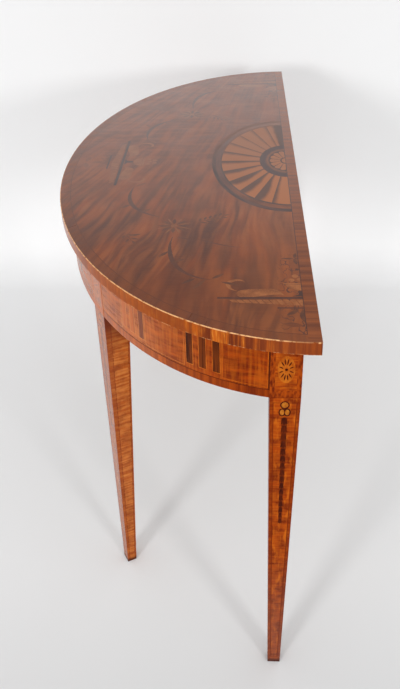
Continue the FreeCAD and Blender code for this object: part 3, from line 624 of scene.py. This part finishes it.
def frieze_satinwood():
    """Mottled satinwood, faded and waxed towards the front."""
    finish = Finish("frieze_satinwood")
    along = rim_along(finish)
    z = finish.z
    fade = front_fade(finish)
    bent = z + finish.sway((along, z), size=(0.08, 0.05), reach=0.02)
    mottle = finish.noise((along, bent), size=(0.065, 0.011), levels=(0.32, 0.68), detail=4.0)
    ripple = finish.noise((bent, along), size=(0.05, 0.006), levels=(0.36, 0.68), detail=3.0)
    stain = finish.noise((along, z), size=(0.06, 0.03), seed=5.0, levels=(0.50, 0.70), detail=3.0)
    threads = fibres(finish, along, z, length=0.05, width=0.0010)
    fresh = finish.blend(mottle, SATINWOOD_DARK, SATINWOOD)
    fresh = finish.blend(ripple, fresh, SATINWOOD_PALE, strength=0.4)
    fresh = finish.blend(threads.rise(0.45, 0.8), fresh, SATINWOOD_PALE, strength=0.3)
    faded = finish.blend(mottle, FADED_DARK, FADED_SATINWOOD)
    faded = finish.blend(ripple, faded, FADED_PALE, strength=0.4)
    colour = finish.blend(fade, fresh, faded, strength=0.85)
    colour = finish.blend(stain * fade.between(0.50, 0.18), colour, FRIEZE_BAND_DARK)
    # Dark joint line at the back leg's block, deepened with painted shadow of the block's step
    colour = finish.blend(finish.y.rise(*joint_and_shadow_y), colour, HUSK_DARK, strength=0.8)
    return polished_frieze(finish, colour, mottle.between(0.24, 0.38), threads, fade)


def frieze_crossband():
    """Crossband along the frieze's lower edge."""
    finish = Finish("frieze_crossband")
    fade = front_fade(finish)
    dark = finish.blend(fade, FRIEZE_BAND_DARK, FADED_DARK)
    pale = finish.blend(fade, FRIEZE_BAND_PALE, FADED_SATINWOOD)
    return crossband_wood(finish, rim_along(finish), finish.z, dark, pale, fade * side_wax, SIDE_POLISH)


def frieze_string():
    """Pale panel frames, paler where the frieze has faded."""
    finish = Finish("frieze_string")
    fade = front_fade(finish)
    broken = finish.noise(finish.point, size=0.02, levels=(0.3, 0.7), detail=3.0)
    colour = finish.blend(broken, SATINWOOD, SATINWOOD_PALE)
    colour = finish.blend(fade, colour, FADED_PALE)
    return polished_frieze(finish, colour, broken.between(0.26, 0.36), broken, fade)


def block_crossband():
    """Dark bands round the blocks of the back legs, faded on the front ones."""
    finish = Finish("block_crossband")
    fade = front_fade(finish)
    grain = finish.noise(finish.point, size=(0.010, 0.004, 0.012), levels=(0.32, 0.68), detail=4.0)
    colour = finish.blend(grain, FRIEZE_BAND_DARK, FRIEZE_BAND_PALE)
    colour = finish.blend(fade, colour, FADED_SATINWOOD, strength=0.9)
    return polished_frieze(finish, colour, grain.between(0.26, 0.36), grain, fade)


def flute_wood():
    """Dark flutes, streaked along their height; those beside the front legs have faded."""
    finish = Finish("flute_wood")
    from_middle = abs(finish.x)
    height_share = (finish.z - frieze_bottom) / frieze_height
    along = rim_along(finish)
    lines = finish.noise((along, finish.z), size=(0.0042, 0.08), levels=(0.36, 0.68), detail=3.0)
    worn = lines * height_share.rise(*worn_flute_shares).between(0.25, 0.85)
    red_one = from_middle.rise(*red_flute_inner_x) * from_middle.rise(*red_flute_outer_x)
    past_front_leg = from_middle.rise(*past_front_leg_x)
    faded = from_middle.rise(*faded_flutes_x) * past_front_leg
    lost = from_middle.rise(*lost_flutes_x) * past_front_leg
    colour = finish.blend(worn.most(red_one * lines.between(0.25, 0.75)), FLUTE_DARK, FLUTE_WORN)
    colour = finish.blend(faded * lines.between(0.70, 0.95), colour, FLUTE_FADED)
    colour = finish.blend(lost, colour, FADED_SATINWOOD, strength=0.85)
    return polished_frieze(finish, colour, lines.between(0.26, 0.38), lines, front_fade(finish))


# Bands, lines, wear and painted shade of the legs, in metres; a pair is a stretch over which something
# sets in
outer_string_inset = 0.0055
front_band_share = 0.21
rear_band_width = 0.0045
band_softness = 0.0008
front_line_reach = (0.0014, 0.0004)
rear_line_reach = (0.0012, 0.0004)
husk_head = frieze_bottom - 0.040
husk_foot_half_width = 0.0030
husk_head_half_width = 0.0050
husk_softness = 0.0006
husk_foot_z = (husk_foot, husk_foot + 0.004)
husk_head_z = (husk_head, husk_head - 0.002)
below_block_z = (frieze_bottom, frieze_bottom - 0.001)
# Painted shade that the frieze casts on the legs' sides
frieze_shadow_z = (frieze_bottom - 0.100, frieze_bottom)
brown_foot_z = (0.40, 0.10)
waxed_foot_z = (0.36, 0.08)
waxed_leg_z = (0.05, 0.35)
grimy_foot_z = (0.014, 0.004)
squarely = (0.6, 0.8)


# Finishes of the legs
def leg_frame(name):
    """Middle of a leg's outer face and the way it faces."""
    low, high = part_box(name + "_patera")
    middle = (low + high) / 2
    if name.startswith("back"):
        outward = Vector((math.copysign(1, middle.x), 0, 0))
        middle.x = math.copysign(max(abs(low.x), abs(high.x)), middle.x)
    else:
        across = middle.x / (half_width - front_overhang) ** 2
        forward = (middle.y - back_y) / (table_depth - front_overhang) ** 2
        outward = Vector((across, forward, 0)).normalized()
    return middle, outward


class LegFinish(Finish):
    """Finish of one leg, with places measured from its outer face and masks of its faces."""

    def __init__(self, leg):
        super().__init__(leg + "_satinwood")
        middle, outward = leg_frame(leg)
        right = self.x - middle.x
        back = self.y - middle.y
        self.out = right * outward.x + back * outward.y
        self.side = back * outward.x - right * outward.y
        self.place = (self.side, self.out, self.z)
        front = self.facing(outward)
        below_block = self.z.rise(*below_block_z)
        self.faces_out = front.rise(*squarely)
        self.on_outer = self.faces_out * below_block
        self.on_side = (1 - abs(front).rise(*squarely)) * below_block


def leg_bands(finish):
    """Masks of the redder bands along the arrises and of the fine lines beside them."""
    taper = (finish.z / frieze_bottom).least(1.0)
    half = taper.between(foot_half_width, leg_half_width)
    depth = taper.between(foot_depth, leg_depth)
    wander = finish.sway((finish.z,), size=0.012, reach=0.0016, detail=3.0)
    from_arris = half - abs(finish.side) + wander
    past_front_band = wander - finish.out - depth * front_band_share
    from_rear = depth + finish.out + wander
    outer_band = from_arris.rise(outer_string_inset + band_softness, outer_string_inset) * finish.on_outer
    front_band = past_front_band.rise(band_softness, 0.0) * finish.on_side
    rear_band = from_rear.rise(rear_band_width + band_softness, rear_band_width) * finish.on_side
    front_line = abs(past_front_band).rise(*front_line_reach)
    rear_line = abs(from_rear - rear_band_width).rise(*rear_line_reach)
    dashes = finish.noise((finish.z,), size=0.008, seed=2.0, levels=(0.40, 0.56), detail=3.0)
    bands = outer_band.most(front_band * 0.8).most(rear_band)
    return bands, front_line.most(rear_line) * finish.on_side * dashes


def husk_ground(finish):
    """Mask of the scorched ground beside the husks."""
    share = (finish.z - husk_foot) / (husk_head - husk_foot)
    half = share.between(husk_foot_half_width, husk_head_half_width)
    ragged = finish.sway((finish.side, finish.z), size=(0.006, 0.007), reach=0.003, detail=3.0)
    beside = (abs(finish.side) + ragged).rise(half + husk_softness, half - husk_softness)
    return beside * finish.z.rise(*husk_foot_z) * finish.z.rise(*husk_head_z) * finish.on_outer


def leg_figure(finish, dark, plain, pale):
    """Cross-figured wood, with its mottle and its threads."""
    bent = finish.z + finish.sway(finish.place, size=(0.03, 0.03, 0.05), reach=0.004)
    tiger_place = (finish.side, finish.out, bent)
    tiger = finish.noise(tiger_place, size=(0.06, 0.06, 0.0036), levels=(0.36, 0.64), detail=3.0)
    mottle = finish.noise(finish.place, size=(0.022, 0.022, 0.016), levels=(0.30, 0.68), detail=4.0)
    glow = finish.noise(finish.place, size=(0.008, 0.008, 0.030), levels=(0.50, 0.70), detail=3.0)
    threads = finish.noise(finish.place, size=(0.0010, 0.0010, 0.05), detail=3.0)
    stripes = tiger * mottle.between(0.25, 0.70) * finish.on_outer.between(1.0, 0.6)
    colour = finish.blend(mottle, dark, plain)
    colour = finish.blend(stripes, colour, pale)
    colour = finish.blend(glow * finish.on_outer, colour, pale, strength=0.75)
    colour = finish.blend(threads.rise(0.45, 0.8), colour, pale, strength=0.25)
    return colour, mottle, threads


def leg_satinwood(leg, woods, wax, foot_wax):
    """Cross-figured satinwood with redder bands and string lines along its arrises, and painted shade on
    its sides under the frieze.
    """
    finish = LegFinish(leg)
    z = finish.z
    colour, mottle, threads = leg_figure(finish, *woods["leg"])
    bands, lines = leg_bands(finish)
    band_tone = finish.noise(finish.place, size=(0.02, 0.02, 0.009), levels=(0.3, 0.7), detail=3.0)
    dirt = finish.noise(finish.place, size=0.01, levels=(0.15, 0.45))
    grime = z.rise(*grimy_foot_z) * dirt
    colour = finish.blend(bands * band_tone.between(0.35, 0.85), colour, woods["stringing"][1])
    colour = finish.blend(lines, colour, LEG_BAND, strength=0.7)
    colour = finish.blend(husk_ground(finish), colour, woods["husks"][1], strength=0.88)
    # Painted shade on the legs' sides, darkest right under the frieze
    colour = finish.blend(z.rise(*frieze_shadow_z) * finish.on_side, colour, SATINWOOD_DARK, strength=0.85)
    colour = finish.blend(z.rise(*brown_foot_z), colour, FOOT_BROWN, strength=0.6 * foot_wax)
    colour = finish.blend(grime, colour, HUSK_DARK, strength=0.85)
    roughness = mottle.between(0.25, 0.39) + grime * 0.2
    coat = finish.faces_out.between(0.4, 1.0) * z.rise(*waxed_leg_z).between(0.6, 1.0) * wax
    return finish.surface(colour, roughness, threads, coat=coat + z.rise(*waxed_foot_z) * foot_wax)


# Finishes out of sight
def planed_pine(name, along, across, through):
    """Bare secondary wood with growth rings, oxidised brown; the grain runs along the first axis named."""
    finish = Finish(name)
    along, across, through = (getattr(finish, axis) for axis in (along, across, through))
    place = (along, across, through)
    bent = across + finish.sway(place, size=(0.4, 0.1, 0.1), reach=0.03)
    rings = finish.noise((along, bent, through), size=(1.2, 0.007, 0.02), levels=(0.32, 0.70))
    threads = fibres(finish, along, across, through, length=0.05, width=0.0009)
    stain = finish.noise(place, size=(0.25, 0.12, 0.12), levels=(0.35, 0.75), detail=4.0)
    saw_marks = finish.noise(place, size=(0.0035, 0.2, 0.2), detail=1.0)
    colour = finish.blend(rings, PINE_DARK, PINE_PALE)
    colour = finish.blend(threads.rise(0.4, 0.75), colour, PINE_PALE, strength=0.3)
    colour = finish.blend(stain, colour, PINE_DARK, strength=0.5)
    height = threads + saw_marks + rings
    return finish.surface(colour, stain.between(0.62, 0.82), height, relief=0.00025, polish=BARE_WOOD)


def dull_steel():
    """Old screws, tarnished in patches."""
    finish = Finish("dull_steel")
    tarnish = finish.noise(finish.point, size=0.004, levels=(0.35, 0.7), detail=4.0)
    colour = finish.blend(tarnish, STEEL_DULL, STEEL_BRIGHT)
    roughness = tarnish.between(0.35, 0.65)
    return finish.surface(colour, roughness, tarnish, relief=0.00005, polish=BARE_STEEL, metallic=1.0)


# Woods of the legs; the front pair has faded
front_leg_woods = {"leg": (FADED_LEG_DARK, FADED_LEG, FADED_PALE),
                   "stringing": (FADED_STRING, FADED_LEG_BAND),
                   "patera": (FADED_SATINWOOD, FADED_BOXWOOD),
                   "trefoil": (FADED_SATINWOOD, FADED_BOXWOOD),
                   "husks": (FADED_HUSK_DARK, FADED_HUSK_PALE)}
back_leg_woods = {"leg": (SATINWOOD_DARK, SATINWOOD, SATINWOOD_PALE),
                  "stringing": (LEG_STRING, LEG_BAND),
                  "patera": (PATERA_SHADED, PATERA_PALE),
                  "trefoil": (BOXWOOD_SHADED, BOXWOOD),
                  "husks": (HUSK_DARK, HUSK_PALE)}

# Inlays of a leg: the name of the finish and the size of its shading, in metres
leg_inlays = {"patera": ("patera_wood", 0.009), "trefoil": ("trefoil_wood", 0.008),
              "husks": ("husk_wood", 0.02), "stringing": ("leg_string", 0.03)}


# Which finish each piece takes
def dress(material, *nodes):
    for node in nodes:
        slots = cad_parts[node].data.materials
        slots.clear()
        slots.append(material)


def dress_top():
    dress(figured_mahogany(), "top_field_veneer")
    dress(back_crossband(), "top_back_crossband")
    dress(rim_crossband(), "top_rim_crossband")
    dress(worn_edge_banding(), "top_edge_banding")
    dress(top_string(), "top_stringing")
    dress(field_inlay("plinth_wood", DARK_INLAY, SCROLL_WORN, DARK_INLAY), "plinth_bar_inlays")
    dress(field_inlay("scroll_wood", SCROLL_DARK, SCROLL_WORN, SCROLL_DARK), "scroll_inlays")
    dress(field_inlay("stained_wood", STAINED_DARK, STAINED_PALE, RIM_BAND_PALE),
          "acanthus_leaf_inlays", "flower_petal_inlays", "wheat_ear_inlays")
    dress(field_inlay("flower_highlight", STAINED_PALE, HIGHLIGHT, MAHOGANY_DARK, patch=0.012),
          "flower_highlight_inlays")
    dress(field_inlay("tazza_wood", TAZZA_SHADED, TAZZA_PALE, TAZZA_DIM, patch=0.02),
          "tazza_inlays", "rope_twist_inlays")


def dress_fan():
    dress(fan_border_wood(), "fan_border")
    dress(fan_ground_wood(), "fan_ground")
    dress(sand_shaded_fan(), "fan_wedges")
    dress(scorched_ring(), "fan_inner_ring")
    dress(inlay_wood("fan_ray_wood", FAN_PALE, FAN_NEAR, coat=fan_wax, polish=TOP_POLISH),
          "fan_centre_rays")


def dress_frieze():
    sections = ("left", "centre", "right")
    dress(frieze_satinwood(), *[section + "_frieze_veneer" for section in sections])
    dress(frieze_crossband(), *[section + "_frieze_crossband" for section in sections])
    dress(flute_wood(), "frieze_flutes")
    dress(frieze_string(), "frieze_stringing")
    dress(inlay_wood("frieze_dark_string", HUSK_DARK, HUSK_PALE), "frieze_lower_string")


def dress_leg_pair(pair, woods, wax, foot_wax):
    """Both legs of a pair, with the inlays of their outer faces."""
    legs = [f"{pair}_{side}_leg" for side in ("left", "right")]
    for leg in legs:
        dress(leg_satinwood(leg, woods, wax, foot_wax), leg)
    for inlay, (wood, patch) in leg_inlays.items():
        finish = inlay_wood(f"{pair}_{wood}", *woods[inlay], patch=patch, coat=wax)
        dress(finish, *[f"{leg}_{inlay}" for leg in legs])


def dress_legs():
    dress_leg_pair("front", front_leg_woods, wax=0.8, foot_wax=0.0)
    dress_leg_pair("back", back_leg_woods, wax=0.0, foot_wax=0.5)
    dress(block_crossband(), "leg_block_crossbands")


def dress_carcase():
    dress(planed_pine("long_pine", "x", "y", "z"),
          "back_top_board", "middle_top_board", "front_top_board", "back_rail", "top_glue_blocks",
          "left_frieze_bricks", "centre_frieze_bricks", "right_frieze_bricks")
    dress(planed_pine("deep_pine", "y", "x", "z"), "centre_brace")
    dress(planed_pine("upright_pine", "z", "x", "y"), "back_corner_blocks")
    dress(dull_steel(), "top_fixing_screws")


# Studio: a paper floor that turns up into a wall behind the far end, in metres
floor_reach = 8.0
near_floor_x = (1.0, 0.4)
wall_x = -0.98
wall_height = 1.35
high_wall_z = (0.2, 0.8)
cove_radius = 0.14
cove_steps = 12
lamp_places = [(4.5, 2.64, 1.70), (4.1, -1.86, 1.70)]
lamp_size = 0.7
lamp_power = 62.0
room_light = 0.90
room_white = 0.92


def paper():
    """Matt paper with painted light: the floor paler towards the wall and the wall paler low down; from
    behind it is clear.
    """
    finish = Finish("studio_paper")
    # Painted light: floor darker near the camera to even out the lamps, wall paler low down
    floor_tone = finish.blend(finish.x.rise(*near_floor_x), NEAR_FLOOR_PAPER, FAR_FLOOR_PAPER)
    wall_tone = finish.blend(finish.z.rise(*high_wall_z), LOW_WALL_PAPER, HIGH_WALL_PAPER)
    tone = finish.blend(finish.z.rise(0, cove_radius), floor_tone, wall_tone)
    matt = finish.node("BsdfDiffuse", {"Color": tone})
    clear = finish.node("BsdfTransparent")
    behind = finish.node("NewGeometry", output="Backfacing")
    finish.node("OutputMaterial", {"Surface": finish.node("MixShader", {0: behind, 1: matt, 2: clear})})
    return finish.material


def studio_sweep():
    """Floor, cove and wall in one sheet, seen only from its front."""
    profile = [Vector((floor_reach, 0, 0))]
    for step in range(cove_steps + 1):
        angle = math.pi / 2 * step / cove_steps
        across = wall_x + cove_radius - cove_radius * math.sin(angle)
        profile.append(Vector((across, 0, cove_radius - cove_radius * math.cos(angle))))
    profile.append(Vector((wall_x, 0, wall_height)))
    points = [point + Vector((0, side * floor_reach, 0)) for point in profile for side in (-1, 1)]
    faces = [(2 * row, 2 * row + 1, 2 * row + 3, 2 * row + 2) for row in range(len(profile) - 1)]
    mesh = bpy.data.meshes.new("studio_sweep")
    mesh.from_pydata(points, [], faces)
    mesh.shade_smooth()
    mesh.materials.append(paper())
    sweep = bpy.data.objects.new("studio_sweep", mesh)
    bpy.context.collection.objects.link(sweep)


def lamps():
    """Two soft boxes beside the camera, turned to the middle of the table."""
    target = Vector((0, 0, table_top / 2))
    for number, place in enumerate(lamp_places):
        light = bpy.data.lights.new(f"softbox_{number}", "AREA")
        light.size = lamp_size
        light.energy = lamp_power
        lamp = bpy.data.objects.new(f"softbox_{number}", light)
        lamp.location = place
        lamp.rotation_euler = (target - lamp.location).to_track_quat("-Z", "Y").to_euler()
        bpy.context.collection.objects.link(lamp)


def room():
    """Even white light; where the camera or a polished face sees the room, it is a little brighter."""
    world = bpy.data.worlds.new("room")
    world.use_nodes = True
    shading = Shading(world.node_tree)
    by_camera = shading.node("LightPath", output="Is Camera Ray")
    by_polish = by_camera.other("Is Glossy Ray").most(by_camera.other("Is Transmission Ray"))
    strength = by_camera.most(by_polish).between(room_light, room_white)
    shading.node("OutputWorld", {"Surface": shading.node("Background", {"Strength": strength})})
    bpy.context.scene.world = world


# Camera at the photograph's viewpoint
image_height = 689
camera_place = Vector((1.7482, 0.1355, 1.4752))
camera_yaw = -0.0652
camera_pitch = 0.5900
camera_roll = -0.0319
focal_pixels = 797.85
centre_right_pixels = -3.88
centre_down_pixels = 3.59
sensor_size = 36.0


def camera():
    forward = Vector((-math.cos(camera_yaw) * math.cos(camera_pitch),
                      math.sin(camera_yaw) * math.cos(camera_pitch), -math.sin(camera_pitch)))
    level_right = forward.cross(Vector((0, 0, 1))).normalized()
    level_up = level_right.cross(forward)
    right = math.cos(camera_roll) * level_right + math.sin(camera_roll) * level_up
    up = math.cos(camera_roll) * level_up - math.sin(camera_roll) * level_right
    lens = bpy.data.cameras.new("camera")
    lens.sensor_fit = "AUTO"
    lens.sensor_width = sensor_size
    lens.lens = sensor_size * focal_pixels / image_height
    lens.shift_x = -centre_right_pixels / image_height
    lens.shift_y = centre_down_pixels / image_height
    view = bpy.data.objects.new("camera", lens)
    turn = Matrix((right, up, -forward)).transposed().to_4x4()
    view.matrix_world = Matrix.Translation(camera_place) @ turn
    bpy.context.collection.objects.link(view)
    bpy.context.scene.camera = view


dress_top()
dress_fan()
dress_frieze()
dress_legs()
dress_carcase()
studio_sweep()
lamps()
room()
camera()
bpy.context.scene.view_settings.view_transform = "Standard"
